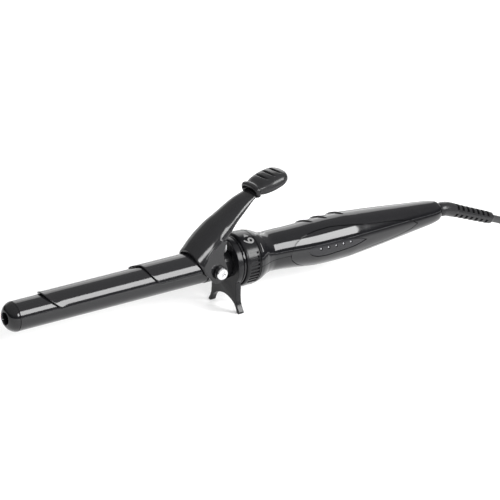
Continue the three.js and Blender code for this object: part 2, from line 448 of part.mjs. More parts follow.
for (let i = 0; i < 7; i++) {
  const t = (reliefLength - 36.4 + i * 5.05) / reliefLength;
  const p = reliefCurve.getPointAt(t), q = reliefCurve.getTangentAt(t), ang = Math.atan2(q.z, q.x);
  for (const s of [1, -1]) {
    const g = box(-1.15, 1.15, -6, 6, s > 0 ? 1.2 : -7, s > 0 ? 7 : -1.2).rotateY(-ang).translate(p.x, 0, p.z);
    const core = swept([[p.x - 3 * q.x, 0, p.z - 3 * q.z], [p.x + 3 * q.x, 0, p.z + 3 * q.z]], 2.9, 8, 1, true);
    relief = relief.subtract(S(g).subtract(S(core)));
  }
}
add('strain_relief', G(relief), 'rubber_black');

// ================================================================ mains cord: free stretch, tied hank, tail and plug
const FLOOR = -AXIS_HEIGHT, CR = CORD_D / 2;
const HANK_X0 = 436, HANK_X1 = 578, HANK_Y = -7, HANK_W = 47, HANK_H = 21.2, TIE_T = 1.2;
const HANK_Z = FLOOR + TIE_T + 0.4;               // the hank lies on its tie
const cordRun = [
  [RELIEF_END_X + 0.35, 0, RELIEF_END_Z - 0.13], [RELIEF_END_X + 5, 0, RELIEF_END_Z - 1.9], [RELIEF_END_X + 12, 0.05, RELIEF_END_Z - 4.5],
  [RELIEF_END_X + 20, 0.4, RELIEF_END_Z - 7.0], [RELIEF_END_X + 28, 1.5, FLOOR + CR + 0.7], [RELIEF_END_X + 36, 4.2, FLOOR + CR + 0.5], [438.6, 8.3, FLOOR + CR + 1.2],
];
add('cord', swept(cordRun, CR, 8, 7), 'rubber_black');
const hankShape = new THREE.Shape();
const hr = HANK_W / 2;
hankShape.moveTo(HANK_X0 + hr, -hr);
hankShape.lineTo(HANK_X1 - hr, -hr);
hankShape.absarc(HANK_X1 - hr, 0, hr, -Math.PI / 2, Math.PI / 2, false);
hankShape.lineTo(HANK_X0 + hr, hr);
hankShape.absarc(HANK_X0 + hr, 0, hr, Math.PI / 2, 3 * Math.PI / 2, false);
add('cord_hank', new THREE.ExtrudeGeometry(hankShape, { depth: HANK_H, bevelEnabled: false, curveSegments: 8 }).translate(0, HANK_Y, HANK_Z), 'rubber_black');
const TIE_X = 462, TG = 0.3;
add('cord_tie', G(S(box(TIE_X, TIE_X + 6, HANK_Y - hr - TG - TIE_T, HANK_Y + hr + TG + TIE_T, HANK_Z - TG - TIE_T, HANK_Z + HANK_H + TG + TIE_T))
  .subtract(S(box(TIE_X - 1, TIE_X + 7, HANK_Y - hr - TG, HANK_Y + hr + TG, HANK_Z - TG, HANK_Z + HANK_H + TG)))), 'satin_black');
// flat two-pin plug, face towards the tie, lying on the hank
const PLUG_X0 = 482, PLUG_Z = HANK_Z + HANK_H + 0.3, PLUG_T = 13.7, PLUG_Y = HANK_Y;
const plugOutline = [[-17.6, 0], [17.6, 0], [17.6, 9], [14.5, 17], [8.5, 26], [5.2, 36], [-5.2, 36], [-8.5, 26], [-14.5, 17], [-17.6, 9]];
const plugShape = new THREE.Shape(plugOutline.map(([y, x]) => new THREE.Vector2(PLUG_X0 + x, PLUG_Y + y)));
let plug = S(new THREE.ExtrudeGeometry(plugShape, { depth: PLUG_T, bevelEnabled: false }).translate(0, 0, PLUG_Z));
for (const y of [-9.5, 9.5]) plug = plug.subtract(S(rod('x', 2.3, PLUG_X0 - 1, PLUG_X0 + 6, PLUG_Y + y, PLUG_Z + PLUG_T / 2, 12)));
add('plug_body', G(plug), 'rubber_black');
[-9.5, 9.5].forEach((y, i) => add('plug_pin_' + (i + 1),
  turned([[0, PLUG_X0 - 19], [1.5, PLUG_X0 - 18.6], [2, PLUG_X0 - 17.8], [2, PLUG_X0 + 5.6], [0, PLUG_X0 + 5.6]], 12, PLUG_Z + PLUG_T / 2, PLUG_Y + y), 'brass'));
const FOLD_X = HANK_X1 - hr;                      // centre of the far fold
add('cord_tail', swept([
  [PLUG_X0 + 36.35, PLUG_Y, PLUG_Z + 6.85], [PLUG_X0 + 43, PLUG_Y - 0.9, PLUG_Z + 6.5], [PLUG_X0 + 51, PLUG_Y - 4.6, PLUG_Z + 5.1],
  [PLUG_X0 + 59, PLUG_Y - 10.6, PLUG_Z + 3.7], [PLUG_X0 + 66, PLUG_Y - 14.6, PLUG_Z + CR + 0.25], [FOLD_X, PLUG_Y - 15.6, PLUG_Z + CR + 0.15],
], CR, 8, 6), 'rubber_black');
export default iron;
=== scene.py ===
import bpy, bmesh, math, json
from mathutils import Vector, Matrix

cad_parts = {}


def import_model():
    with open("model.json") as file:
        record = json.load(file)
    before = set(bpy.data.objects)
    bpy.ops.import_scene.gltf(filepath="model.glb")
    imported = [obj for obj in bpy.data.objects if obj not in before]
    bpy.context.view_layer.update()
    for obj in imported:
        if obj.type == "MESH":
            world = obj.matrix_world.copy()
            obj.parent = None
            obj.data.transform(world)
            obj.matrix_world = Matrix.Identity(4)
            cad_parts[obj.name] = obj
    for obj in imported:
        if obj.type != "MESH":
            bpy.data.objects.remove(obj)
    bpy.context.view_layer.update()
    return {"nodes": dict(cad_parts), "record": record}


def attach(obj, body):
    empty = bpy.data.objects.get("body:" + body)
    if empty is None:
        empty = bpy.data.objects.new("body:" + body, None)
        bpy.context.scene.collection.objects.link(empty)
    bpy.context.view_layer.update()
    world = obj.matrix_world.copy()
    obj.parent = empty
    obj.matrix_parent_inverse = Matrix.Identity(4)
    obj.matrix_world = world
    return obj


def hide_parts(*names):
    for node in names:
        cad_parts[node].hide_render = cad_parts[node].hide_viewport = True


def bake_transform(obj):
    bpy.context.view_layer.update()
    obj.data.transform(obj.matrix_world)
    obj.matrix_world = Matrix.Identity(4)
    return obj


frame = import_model()
NODES = frame["nodes"]

# The part's own drawing frame: X from the tip along the barrel, axis at Z = 0, millimetres.
CX, H = 197.4, 30.7
def W(x, y, z):
    return Vector(((x - CX) / 1000, y / 1000, (z + H) / 1000))
rad = math.radians
def lerp(xs, ys, x):
    if x <= xs[0]: return ys[0]
    for i in range(1, len(xs)):
        if x <= xs[i]:
            t = (x - xs[i - 1]) / (xs[i] - xs[i - 1])
            return ys[i - 1] + t * (ys[i] - ys[i - 1])
    return ys[-1]
def smooth(xs, ys, x):
    """Monotone cubic through a table."""
    n = len(xs)
    if x <= xs[0]: return ys[0]
    if x >= xs[-1]: return ys[-1]
    i = 0
    while x > xs[i + 1]: i += 1
    def slope(k):
        if k <= 0: return (ys[1] - ys[0]) / (xs[1] - xs[0])
        if k >= n - 1: return (ys[-1] - ys[-2]) / (xs[-1] - xs[-2])
        a = (ys[k] - ys[k - 1]) / (xs[k] - xs[k - 1]); b = (ys[k + 1] - ys[k]) / (xs[k + 1] - xs[k])
        return 0.0 if a * b <= 0 else 2 * a * b / (a + b)
    h = xs[i + 1] - xs[i]; t = (x - xs[i]) / h
    m0, m1 = slope(i) * h, slope(i + 1) * h
    return (2*t**3 - 3*t*t + 1) * ys[i] + (t**3 - 2*t*t + t) * m0 + (-2*t**3 + 3*t*t) * ys[i + 1] + (t**3 - t*t) * m1

# ------------------------------------------------------------------ camera
a, e = rad(-35.872), rad(20.993)
back = Vector((math.sin(a) * math.cos(e), -math.cos(a) * math.cos(e), math.sin(e)))
right = Vector((math.cos(a), math.sin(a), 0))
up = back.cross(right)
cam_data = bpy.data.cameras.new("cam")
cam = bpy.data.objects.new("cam", cam_data)
bpy.context.scene.collection.objects.link(cam)
bpy.context.scene.camera = cam
cam.location = W(150, 0, 0) + back * 1.44996
cam.rotation_mode = "QUATERNION"
cam.rotation_quaternion = Matrix((right, up, back)).transposed().to_quaternion()
cam_data.sensor_width = 36
cam_data.lens = 2281.4 / 500 * 36
cam_data.shift_x = (250 - 207.06) / 500
cam_data.shift_y = (266.35 - 250) / 500
cam_data.clip_start, cam_data.clip_end = 0.05, 20

# ------------------------------------------------------------------ mesh helpers
def obj(name, verts, faces, shade=True, angle=None):
    me = bpy.data.meshes.new(name)
    me.from_pydata([tuple(v) for v in verts], [], faces)
    me.validate()
    bm = bmesh.new(); bm.from_mesh(me)
    bmesh.ops.remove_doubles(bm, verts=bm.verts, dist=1e-7)
    bmesh.ops.recalc_face_normals(bm, faces=bm.faces)
    bm.to_mesh(me); bm.free()
    o = bpy.data.objects.new(name, me)
    bpy.context.scene.collection.objects.link(o)
    for p in me.polygons: p.use_smooth = shade
    if angle is not None and shade:
        me.set_sharp_from_angle(angle=rad(angle))
    return o
def grid_solid(name, nu, nv, f, angle=35):
    """Closed block f(u, v, w) with w 0 and 1 the two sides."""
    V, idx = [], {}
    for w in (0, 1):
        for i in range(nu + 1):
            for j in range(nv + 1):
                idx[i, j, w] = len(V); V.append(W(*f(i / nu, j / nv, w)))
    F = []
    for i in range(nu):
        for j in range(nv):
            for w in (0, 1):
                q = [idx[i, j, w], idx[i + 1, j, w], idx[i + 1, j + 1, w], idx[i, j + 1, w]]
                F.append(q if w else q[::-1])
    for i in range(nu):
        for j in (0, nv): F.append([idx[i, j, 0], idx[i + 1, j, 0], idx[i + 1, j, 1], idx[i, j, 1]])
    for j in range(nv):
        for i in (0, nu): F.append([idx[i, j, 0], idx[i, j + 1, 0], idx[i, j + 1, 1], idx[i, j, 1]])
    return obj(name, V, F, angle=angle)
def loft(name, nt, seg, f, angle=35):
    """Closed round body: f(t, angle) is a point of section t."""
    V, F = [], []
    for i in range(nt + 1):
        for j in range(seg): V.append(W(*f(i / nt, 2 * math.pi * j / seg)))
    for i in range(nt):
        for j in range(seg):
            k = (j + 1) % seg
            F.append([i * seg + j, i * seg + k, (i + 1) * seg + k, (i + 1) * seg + j])
    F.append(list(range(seg))[::-1]); F.append([nt * seg + j for j in range(seg)])
    return obj(name, V, F, angle=angle)
def turned(name, prof, seg=96, y=0, z=0, axis="x", x=0, angle=32):
    """Revolved ring or solid. prof is (radius, position) in a loop; for axis y the position is Y."""
    V, F = [], []
    closed_ring = prof[0] == prof[-1]
    P = prof[:-1] if closed_ring else prof
    for j in range(seg):
        t = 2 * math.pi * j / seg
        for r, p in P:
            V.append(W(p, y + r * math.sin(t), z + r * math.cos(t)) if axis == "x" else W(x + r * math.sin(t), p, z + r * math.cos(t)))
    n = len(P)
    for j in range(seg):
        k = (j + 1) % seg
        for i in range(n if closed_ring else n - 1):
            m = (i + 1) % n
            F.append([j * n + i, j * n + m, k * n + m, k * n + i])
    return obj(name, V, F, angle=angle)
def tube(name, pts, r, sides=16, closed_ends=True):
    """Round tube on world points, carried without twist."""
    P = [Vector(p) for p in pts]
    V, F = [], []
    t0 = (P[1] - P[0]).normalized()
    n = t0.orthogonal().normalized()
    for i, p in enumerate(P):
        t = (P[min(i + 1, len(P) - 1)] - P[max(i - 1, 0)]).normalized()
        n = (n - t * n.dot(t)).normalized(); b = t.cross(n)
        for j in range(sides):
            q = 2 * math.pi * j / sides
            V.append(p + (n * math.cos(q) + b * math.sin(q)) * r)
    for i in range(len(P) - 1):
        for j in range(sides):
            k = (j + 1) % sides
            F.append([i * sides + j, i * sides + k, (i + 1) * sides + k, (i + 1) * sides + j])
    F.append(list(range(sides))[::-1]); F.append([(len(P) - 1) * sides + j for j in range(sides)])
    return obj(name, V, F, angle=50)
def prism(name, outline, d0, d1, plane="xz", bevel=0.0, seg=3, angle=35):
    """Extruded outline. plane xz goes along Y, yz along X, xy along Z."""
    put = {"xz": lambda p, d: W(p[0], d, p[1]), "yz": lambda p, d: W(d, p[0], p[1]), "xy": lambda p, d: W(p[0], p[1], d)}[plane]
    n = len(outline)
    V = [put(p, d0) for p in outline] + [put(p, d1) for p in outline]
    F = [list(range(n)), list(range(2 * n - 1, n - 1, -1))] + [[i, (i + 1) % n, n + (i + 1) % n, n + i] for i in range(n)]
    o = obj(name, V, F, angle=angle)
    if bevel: bevelled(o, bevel, seg)
    return o
def apply(o):
    bpy.context.view_layer.update()
    dg = bpy.context.evaluated_depsgraph_get()
    me = bpy.data.meshes.new_from_object(o.evaluated_get(dg))
    o.modifiers.clear(); o.data = me
    return o
def bevelled(o, width, seg=3, limit=35):
    m = o.modifiers.new("b", "BEVEL"); m.width = width / 1000; m.segments = seg; m.limit_method = "ANGLE"; m.angle_limit = rad(limit)
    apply(o)
    for p in o.data.polygons: p.use_smooth = True
    o.data.set_sharp_from_angle(angle=rad(40))
    return o
def volume(me):
    bm = bmesh.new(); bm.from_mesh(me); v = bm.calc_volume(); bm.free()
    return v
def boolean(o, others, op="DIFFERENCE", angle=32):
    """Cut or join, trying both solvers; a result counts only if its volume moved the right way."""
    for q in others:
        kept = o.data; v0 = volume(kept)
        for solver in ("EXACT", "MANIFOLD"):
            o.data = kept
            m = o.modifiers.new("c", "BOOLEAN"); m.operation = op; m.object = q; m.solver = solver
            apply(o)
            v1 = volume(o.data)
            if op == "DIFFERENCE" and 0.15 * v0 < v1 < v0 * (1 - 1e-7): break
            if op == "UNION" and v0 * (1 + 1e-7) < v1 < v0 * 3: break
        else:
            print("BOOLEAN FAILED", o.name, q.name, v0, v1); o.data = kept
        bpy.data.objects.remove(q)
    for p in o.data.polygons: p.use_smooth = True
    o.data.set_sharp_from_angle(angle=rad(angle))
    return o
def block(name, x0, x1, y0, y1, z0, z1):
    return prism(name, [(x0, z0), (x1, z0), (x1, z1), (x0, z1)], y0, y1)
def curve_points(P, step=2.0):
    """Centripetal Catmull-Rom through drawing-frame points, evenly sampled, in metres."""
    P = [Vector(p) for p in P]
    Q = [P[0] * 2 - P[1]] + P + [P[-1] * 2 - P[-2]]
    out = []
    for i in range(1, len(Q) - 2):
        p0, p1, p2, p3 = Q[i - 1], Q[i], Q[i + 1], Q[i + 2]
        t0 = 0.0; t1 = t0 + (p1 - p0).length ** 0.5; t2 = t1 + (p2 - p1).length ** 0.5; t3 = t2 + (p3 - p2).length ** 0.5
        n = max(2, round((p2 - p1).length / step))
        for k in range(n):
            t = t1 + (t2 - t1) * k / n
            A1 = p0 * ((t1-t)/(t1-t0)) + p1 * ((t-t0)/(t1-t0)); A2 = p1 * ((t2-t)/(t2-t1)) + p2 * ((t-t1)/(t2-t1)); A3 = p2 * ((t3-t)/(t3-t2)) + p3 * ((t-t2)/(t3-t2))
            B1 = A1 * ((t2-t)/(t2-t0)) + A2 * ((t-t0)/(t2-t0)); B2 = A2 * ((t3-t)/(t3-t1)) + A3 * ((t-t1)/(t3-t1))
            out.append(B1 * ((t2-t)/(t2-t1)) + B2 * ((t-t1)/(t2-t1)))
    out.append(P[-1])
    return [W(*p) for p in out]

# ------------------------------------------------------------------ materials
def material(name, color, rough, metal=0.0, coat=0.0, coat_rough=0.05, tone=0.06, grain=900, bump=0.02, rough_var=0.05, stretch=(1, 1, 1), spec=0.5, emission=0.0):
    """Base colour and roughness varied by two noises, fine surface grain as bump."""
    m = bpy.data.materials.new(name); m.use_nodes = True
    nt = m.node_tree; N = nt.nodes; L = nt.links
    b = N["Principled BSDF"]
    b.inputs["Metallic"].default_value = metal
    b.inputs["Coat Weight"].default_value = coat
    b.inputs["Coat Roughness"].default_value = coat_rough
    b.inputs["Specular IOR Level"].default_value = spec
    tc = N.new("ShaderNodeTexCoord"); mp = N.new("ShaderNodeMapping"); mp.inputs["Scale"].default_value = stretch
    L.new(tc.outputs["Object"], mp.inputs["Vector"])
    big = N.new("ShaderNodeTexNoise"); big.inputs["Scale"].default_value = 60; big.inputs["Detail"].default_value = 5
    fine = N.new("ShaderNodeTexNoise"); fine.inputs["Scale"].default_value = grain; fine.inputs["Detail"].default_value = 3
    L.new(mp.outputs["Vector"], big.inputs["Vector"]); L.new(mp.outputs["Vector"], fine.inputs["Vector"])
    ramp = N.new("ShaderNodeValToRGB")
    lo = [c * (1 - tone) for c in color]; hi = [min(1, c * (1 + tone)) for c in color]
    ramp.color_ramp.elements[0].position, ramp.color_ramp.elements[1].position = 0.3, 0.7
    ramp.color_ramp.elements[0].color = (*lo, 1); ramp.color_ramp.elements[1].color = (*hi, 1)
    L.new(big.outputs["Fac"], ramp.inputs["Fac"]); L.new(ramp.outputs["Color"], b.inputs["Base Color"])
    mr = N.new("ShaderNodeMapRange"); mr.inputs["To Min"].default_value = max(0.02, rough - rough_var); mr.inputs["To Max"].default_value = rough + rough_var
    L.new(big.outputs["Fac"], mr.inputs["Value"]); L.new(mr.outputs["Result"], b.inputs["Roughness"])
    bp = N.new("ShaderNodeBump"); bp.inputs["Strength"].default_value = bump; bp.inputs["Distance"].default_value = 0.0002
    L.new(fine.outputs["Fac"], bp.inputs["Height"]); L.new(bp.outputs["Normal"], b.inputs["Normal"])
    if emission:
        b.inputs["Emission Color"].default_value = (1, 1, 1, 1); b.inputs["Emission Strength"].default_value = emission
    return m
M = {
    "barrel_coat": material("barrel_coat", (0.010, 0.010, 0.011), 0.11, coat=0.12, grain=1500, bump=0.003, stretch=(0.3, 1, 1), rough_var=0.02, spec=0.34),
    "clamp_coat": material("clamp_coat", (0.010, 0.010, 0.011), 0.11, coat=0.12, grain=1500, bump=0.003, stretch=(0.3, 1, 1), rough_var=0.02, spec=0.34),
    "gloss_black": material("gloss_black", (0.007, 0.007, 0.008), 0.09, coat=0.2, grain=700, bump=0.003, rough_var=0.02, spec=0.34),
    "satin_black": material("satin_black", (0.007, 0.007, 0.008), 0.22, grain=2600, bump=0.015, rough_var=0.04, spec=0.25),
    "handle_black": material("handle_black", (0.006, 0.006, 0.007), 0.10, coat=0.1, grain=1800, bump=0.002, rough_var=0.02, spec=0.34),
    "lever_black": material("lever_black", (0.011, 0.011, 0.012), 0.15, grain=2600, bump=0.005, rough_var=0.03, spec=0.38),
    "rubber_black": material("rubber_black", (0.014, 0.014, 0.015), 0.25, grain=3000, bump=0.02, rough_var=0.04, spec=0.3),
    "cord_black": material("cord_black", (0.02, 0.02, 0.021), 0.40, grain=3500, bump=0.05, rough_var=0.05),
    "steel": material("steel", (0.72, 0.72, 0.73), 0.2, metal=1, grain=1200, bump=0.05),
    "spring_steel": material("spring_steel", (0.86, 0.86, 0.87), 0.3, metal=0.55, grain=1200, bump=0.02),
    "aluminium": material("aluminium", (0.6, 0.6, 0.62), 0.4, metal=1, grain=1200, bump=0.1, stretch=(0.1, 1, 1)),
    "ceramic": material("ceramic", (0.68, 0.66, 0.6), 0.6, grain=2000, bump=0.2),
    "brass": material("brass", (0.72, 0.52, 0.22), 0.28, metal=1, grain=1200, bump=0.06),
    "board": material("board", (0.03, 0.16, 0.07), 0.45, grain=500, bump=0.1, tone=0.2),
    "lens": material("lens", (0.014, 0.014, 0.016), 0.08, coat=0.1, grain=600, bump=0.002, rough_var=0.015, spec=0.28),
    "led": material("led", (0.34, 0.34, 0.36), 0.3, grain=900, bump=0.02),
    "wire": material("wire", (0.5, 0.48, 0.44), 0.55, grain=3000, bump=0.15),
    "print_white": material("print_white", (0.19, 0.19, 0.19), 0.5, grain=2500, bump=0.1),
}
def put(o, mat, body, *cad, slot=None):
    o.data.materials.clear(); o.data.materials.append(M[mat])
    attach(o, body)
    if cad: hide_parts(*cad)
    slot or {"handle_black": "satin_black", "lever_black": "satin_black", "cord_black": "rubber_black", "print_white": "led"}.get(mat, mat)
    return o
ROOT = "frame_body"

# ------------------------------------------------------------------ cord, hank, plug
CR = 2.6; FLOOR = -H
HX0, HX1, HY, HANK_H = 436, 578, -7, 21.2
HZ = FLOOR + 1.6
REX, REZ = 393.2, -18.4
run = [(REX + 0.35, 0, REZ - 0.13), (REX + 5, 0, REZ - 1.9), (REX + 12, 0.05, REZ - 4.5), (REX + 20, 0.4, REZ - 7.0),
       (REX + 28, 1.5, FLOOR + CR + 0.7), (REX + 36, 4.2, FLOOR + CR + 0.5), (438.6, 8.3, FLOOR + CR + 1.2)]
A, B = HX0 + 23.5, HX1 - 23.5            # fold centres
RO, RI = 20.8, 15.6
LZ = [HZ + CR + 5.25 * k for k in range(4)]
pts = list(run) + [(449, 12.2, LZ[0])]
def ease(t): return t * t * (3 - 2 * t)
def straight(side, r, xa, xb, za, zb, climb=None):
    n = 8
    for k in range(n + 1):
        x = xa + (xb - xa) * k / n
        z = za
        if climb:
            c0, c1 = climb
            t = min(1, max(0, (x - c0) / (c1 - c0)))
            z = za + (zb - za) * ease(t)
        pts.append((x, HY + side * r, z))
def fold(end, r0, r1, z0, z1):
    n = 12
    for k in range(1, n):
        t = k / n; r = r0 + (r1 - r0) * ease(t); q = math.pi * t
        z = z0 + (z1 - z0) * ease(t)
        if end > 0: pts.append((B + r * math.sin(q), HY + r * math.cos(q), z))
        else: pts.append((A - r * math.sin(q), HY - r * math.cos(q), z))
straight(1, RO, A, B, LZ[0], LZ[0]); fold(1, RO, RO, LZ[0], LZ[0]); straight(-1, RO, B, A, LZ[0], LZ[0]); fold(-1, RO, RI, LZ[0], LZ[0])
straight(1, RI, A, B, LZ[0], LZ[0]); fold(1, RI, RI, LZ[0], LZ[0]); straight(-1, RI, B, A, LZ[0], LZ[1], (552, 522)); fold(-1, RI, RI, LZ[1], LZ[1])
straight(1, RI, A, B, LZ[1], LZ[1]); fold(1, RI, RO, LZ[1], LZ[1]); straight(-1, RO, B, A, LZ[1], LZ[1]); fold(-1, RO, RO, LZ[1], LZ[1])
straight(1, RO, A, B, LZ[1], LZ[2], (500, 545)); fold(1, RO, RO, LZ[2], LZ[2]); straight(-1, RO, B, A, LZ[2], LZ[2]); fold(-1, RO, RI, LZ[2], LZ[2])
straight(1, RI, A, B, LZ[2], LZ[2]); fold(1, RI, RI, LZ[2], LZ[2]); straight(-1, RI, B, A, LZ[2], LZ[3], (552, 522)); fold(-1, RI, RI, LZ[3], LZ[3])
PX, PZ, PY = 482, HZ + HANK_H + 0.3, HY
straight(1, RI, A, B, LZ[3], LZ[3]); fold(1, RI, RI, LZ[3], PZ + CR + 0.15)
tail = [(PX + 36.35, PY, PZ + 6.85), (PX + 43, PY - 0.9, PZ + 6.5), (PX + 51, PY - 4.6, PZ + 5.1), (PX + 59, PY - 10.6, PZ + 3.7),
        (PX + 66, PY - 14.6, PZ + CR + 0.25), (B, PY - 15.6, PZ + CR + 0.15)]
pts += tail[::-1]
clean = [pts[0]]
for p in pts[1:]:
    if (Vector(p) - Vector(clean[-1])).length > 1.0: clean.append(p)
path = curve_points(clean, 1.8)
cord = tube("mains_cord", path, CR / 1000, 16)
cord.data.materials.append(M["cord_black"]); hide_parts("cord", "cord_hank", "cord_tail")
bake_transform(cord)

tie_x = 462
def tie_loop(t, grow):
    hy, y0, y1, z0, z1 = 4.5, HY - 23.7 - grow, HY + 23.7 + grow, HZ - 0.25 - grow, HZ + HANK_H + 0.2 + grow
    return y0, y1, z0, z1
def rounded(y0, y1, z0, z1, r, n=8):
    out = []
    for cy, cz, q0 in ((y1 - r, z1 - r, 0), (y0 + r, z1 - r, 90), (y0 + r, z0 + r, 180), (y1 - r, z0 + r, 270)):
        for k in range(n + 1):
            q = rad(q0 + 90 * k / n); out.append((cy + r * math.cos(q), cz + r * math.sin(q)))
    return out
def band(name, x0, x1, grow0, grow1, r):
    o0, o1 = rounded(*tie_loop(0, grow0), r), rounded(*tie_loop(0, grow1), r + grow1 - grow0)
    n = len(o0); V, F = [], []
    for x in (x0, x1):
        V += [W(x, *p) for p in o0]; V += [W(x, *p) for p in o1]
    for i in range(n):
        k = (i + 1) % n
        F += [[i, k, n + k, n + i], [2*n + i, 3*n + i, 3*n + k, 2*n + k], [i, 2*n + i, 2*n + k, k], [n + i, n + k, 3*n + k, 3*n + i]]
    return bevelled(obj(name, V, F, angle=35), 0.3, 2)
tie = put(band("cord_tie_strap", tie_x, tie_x + 6, 0.0, 1.15, 2.5), "rubber_black", ROOT, "cord_tie", slot="satin_black")

# plug: rounded flat body, narrowing to a grooved neck
def plug_half(t):
    return smooth([0, 0.03, 0.2, 0.32, 0.5, 0.68, 0.85, 1.0], [15.9, 17.5, 17.6, 16.6, 12.8, 8.4, 5.9, 5.2], t)
def plug_thick(t):
    base = smooth([0, 0.03, 0.3, 0.6, 0.8, 1.0], [5.9, 6.8, 6.8, 6.4, 5.3, 4.9], t)
    if t > 0.7: base -= 0.55 * (0.5 - 0.5 * math.cos((t - 0.7) / 0.3 * 2 * math.pi * 4))
    return base
def plug_point(t, q):
    hw, hh = plug_half(t), plug_thick(t); c, s = math.cos(q), math.sin(q); n = 0.42 + 0.5 * max(0, (t - 0.5)) / 0.5
    return (PX + 36 * t, PY + hw * math.copysign(abs(s) ** n, s), PZ + 6.85 + hh * math.copysign(abs(c) ** n, c))
plug = loft("plug_moulding", 100, 72, plug_point, angle=45)
cut = []
for y in (-9.5, 9.5):
    cut.append(turned("c", [(0, PX - 1), (2.25, PX - 1), (2.25, PX + 5.8), (0, PX + 5.8)], 32, y=PY + y, z=PZ + 6.85))
boolean(plug, cut, angle=45)
put(plug, "cord_black", ROOT, "plug_body")
for i, y in enumerate((-9.5, 9.5)):
    p = turned("pin_%d" % (i + 1), [(0, PX - 19), (0.9, PX - 18.95), (1.6, PX - 18.5), (1.95, PX - 17.6), (2.0, PX - 17), (2.0, PX - 8.2), (1.9, PX - 8.0), (2.0, PX - 7.8), (2.0, PX + 5.6), (0, PX + 5.6)], 32, y=PY + y, z=PZ + 6.85)
    put(p, "steel", ROOT, "plug_pin_%d" % (i + 1), slot="brass")

# ------------------------------------------------------------------ barrel and tip
put(turned("barrel_skin", [(8.7, 6.2), (9.4, 6.2), (9.5, 6.35), (9.5, 144.4), (8.7, 144.6), (8.7, 6.2)], 128), "barrel_coat", ROOT, "barrel_tube")
TIP = [(1.5, 22), (1.5, 9), (3.4, 8.4), (3.6, 1.5), (3.75, 0.9), (3.95, 0.5), (4.25, 0.34), (4.6, 0.4), (5.2, 0.62), (5.8, 0.92), (6.4, 1.3), (7.0, 1.76), (7.55, 2.28), (8.05, 2.86), (8.45, 3.42),
       (8.8, 4.0), (9.07, 4.55), (9.26, 5.0), (9.4, 5.4), (9.47, 5.8), (9.4, 5.92), (8.4, 5.95), (8.4, 22), (1.5, 22)]
put(turned("tip_cap_shell", TIP, 96), "gloss_black", ROOT, "tip_cap")

# ------------------------------------------------------------------ clamp
def spoon_front(d): return 25.6 + 9.2 * min(1, abs(d) / 80) ** 2.2
def sleeve_front(d): return 99.2 + 6.4 * (d / 80) ** 2.4 if d >= 0 else 99.2 - 4.6 * ease(min(1, -d / 28)) + 7.5 * max(0, (-d - 28) / 52) ** 2.2
def lever_front(d): return 133.7 + 9.0 * (abs(d) / 105) ** 2.3
def on_round(x, d, r, zc=0.0): return (x, -r * math.sin(rad(d)), zc + r * math.cos(rad(d)))
def spoon(u, v, w):
    d = (v * 2 - 1) * 82; x0 = spoon_front(d); lip = 1 + 0.03 * max(0, 1 - u * 14) ** 2
    return on_round(x0 + u * (132.4 - x0), d, (9.85 + w * 0.9) * lip)
put(bevelled(grid_solid("spoon_blade", 90, 60, spoon), 0.3, 3), "clamp_coat", "clamp", "clamp_spoon")
def sleeve(u, v, w):
    d = (v * 2 - 1) * 84; x0 = sleeve_front(d)
    return on_round(x0 + u * (138.2 - x0), d, 11.1 + w * 0.9)
put(bevelled(grid_solid("spoon_sleeve", 30, 60, sleeve), 0.25, 3), "clamp_coat", "clamp", "clamp_sleeve")

LX = [133.5, 138, 143.5, 151.4, 155.2, 159, 166.6, 173.8, 180.9, 184.5, 192, 203]
LA = [12.95, 13.1, 13.15, 12.7, 12.0, 11.3, 9.9, 8.7, 7.2, 6.7, 6.7, 6.4]
LB = [12.95, 12.9, 12.6, 12.0, 11.4, 10.6, 7.7, 6.2, 3.9, 2.9, 2.4, 2.0]
LZv = [0.0, 4.2, 10.3, 17.0, 20.1, 22.9, 29.9, 35.2, 40.0, 42.0, 44.5, 47.2]
def root_rise(x): return smooth([133.5, 138, 143.5, 149], [1.5, 1.5, 0.3, 0], x)
def lever_sheet(u, v, w):
    d = (v * 2 - 1) * 98; x0 = lever_front(d); x = x0 + u * (203 - x0)
    xe = x - (x0 - 133.7) * 0.9 * max(0, 1 - u * 4) ** 2
    aa, bb, z0 = smooth(LX, LA, xe), smooth(LX, LB, xe), smooth(LX, LZv, xe)
    k = (1 - w) * lerp([139.4, 144], [0.6, 1.6], x)
    return (x, -(aa - k) * math.sin(rad(d)), z0 + max(0.4, bb - k) * math.cos(rad(d)) + w * root_rise(xe) * max(0, math.cos(rad(d))) ** 0.6)
lever = grid_solid("lever_casting", 90, 48, lever_sheet)
outline = [(150 + 7.4 * math.cos(rad(205 + 4.8 * i)), 7.4 * math.sin(rad(205 + 4.8 * i))) for i in range(31)]
outline += [(157.1, 0.6), (156.3, 3.4), (155.1, 6.0), (154.1, 8.6), (153.8, 11.0), (154.1, 13.4), (155.2, 16.3), (156.8, 19.0), (152, 20.5), (146, 16), (141, 10.5), (138.6, 6.5), (138.8, 2.6), (140.8, -0.6)]
for s in (-1, 1):
    c = prism("c", outline, min(s * 10.7, s * 13.2), max(s * 10.7, s * 13.2))
    boolean(c, [turned("h", [(0, -20), (3.8, -20), (3.8, 20), (0, 20)], 48, axis="y", x=150)])
    boolean(lever, [c], "UNION")
boolean(lever, [block("t", 152, 153.6, -4.8, 4.8, 9.0, 27.9)], "UNION")
rm = lever.modifiers.new("r", "REMESH"); rm.mode = "VOXEL"; rm.voxel_size = 0.00034
sm = lever.modifiers.new("s", "SMOOTH"); sm.factor = 0.5; sm.iterations = 4
apply(lever)
for p in lever.data.polygons: p.use_smooth = True
put(lever, "lever_black", "clamp", "clamp_lever")

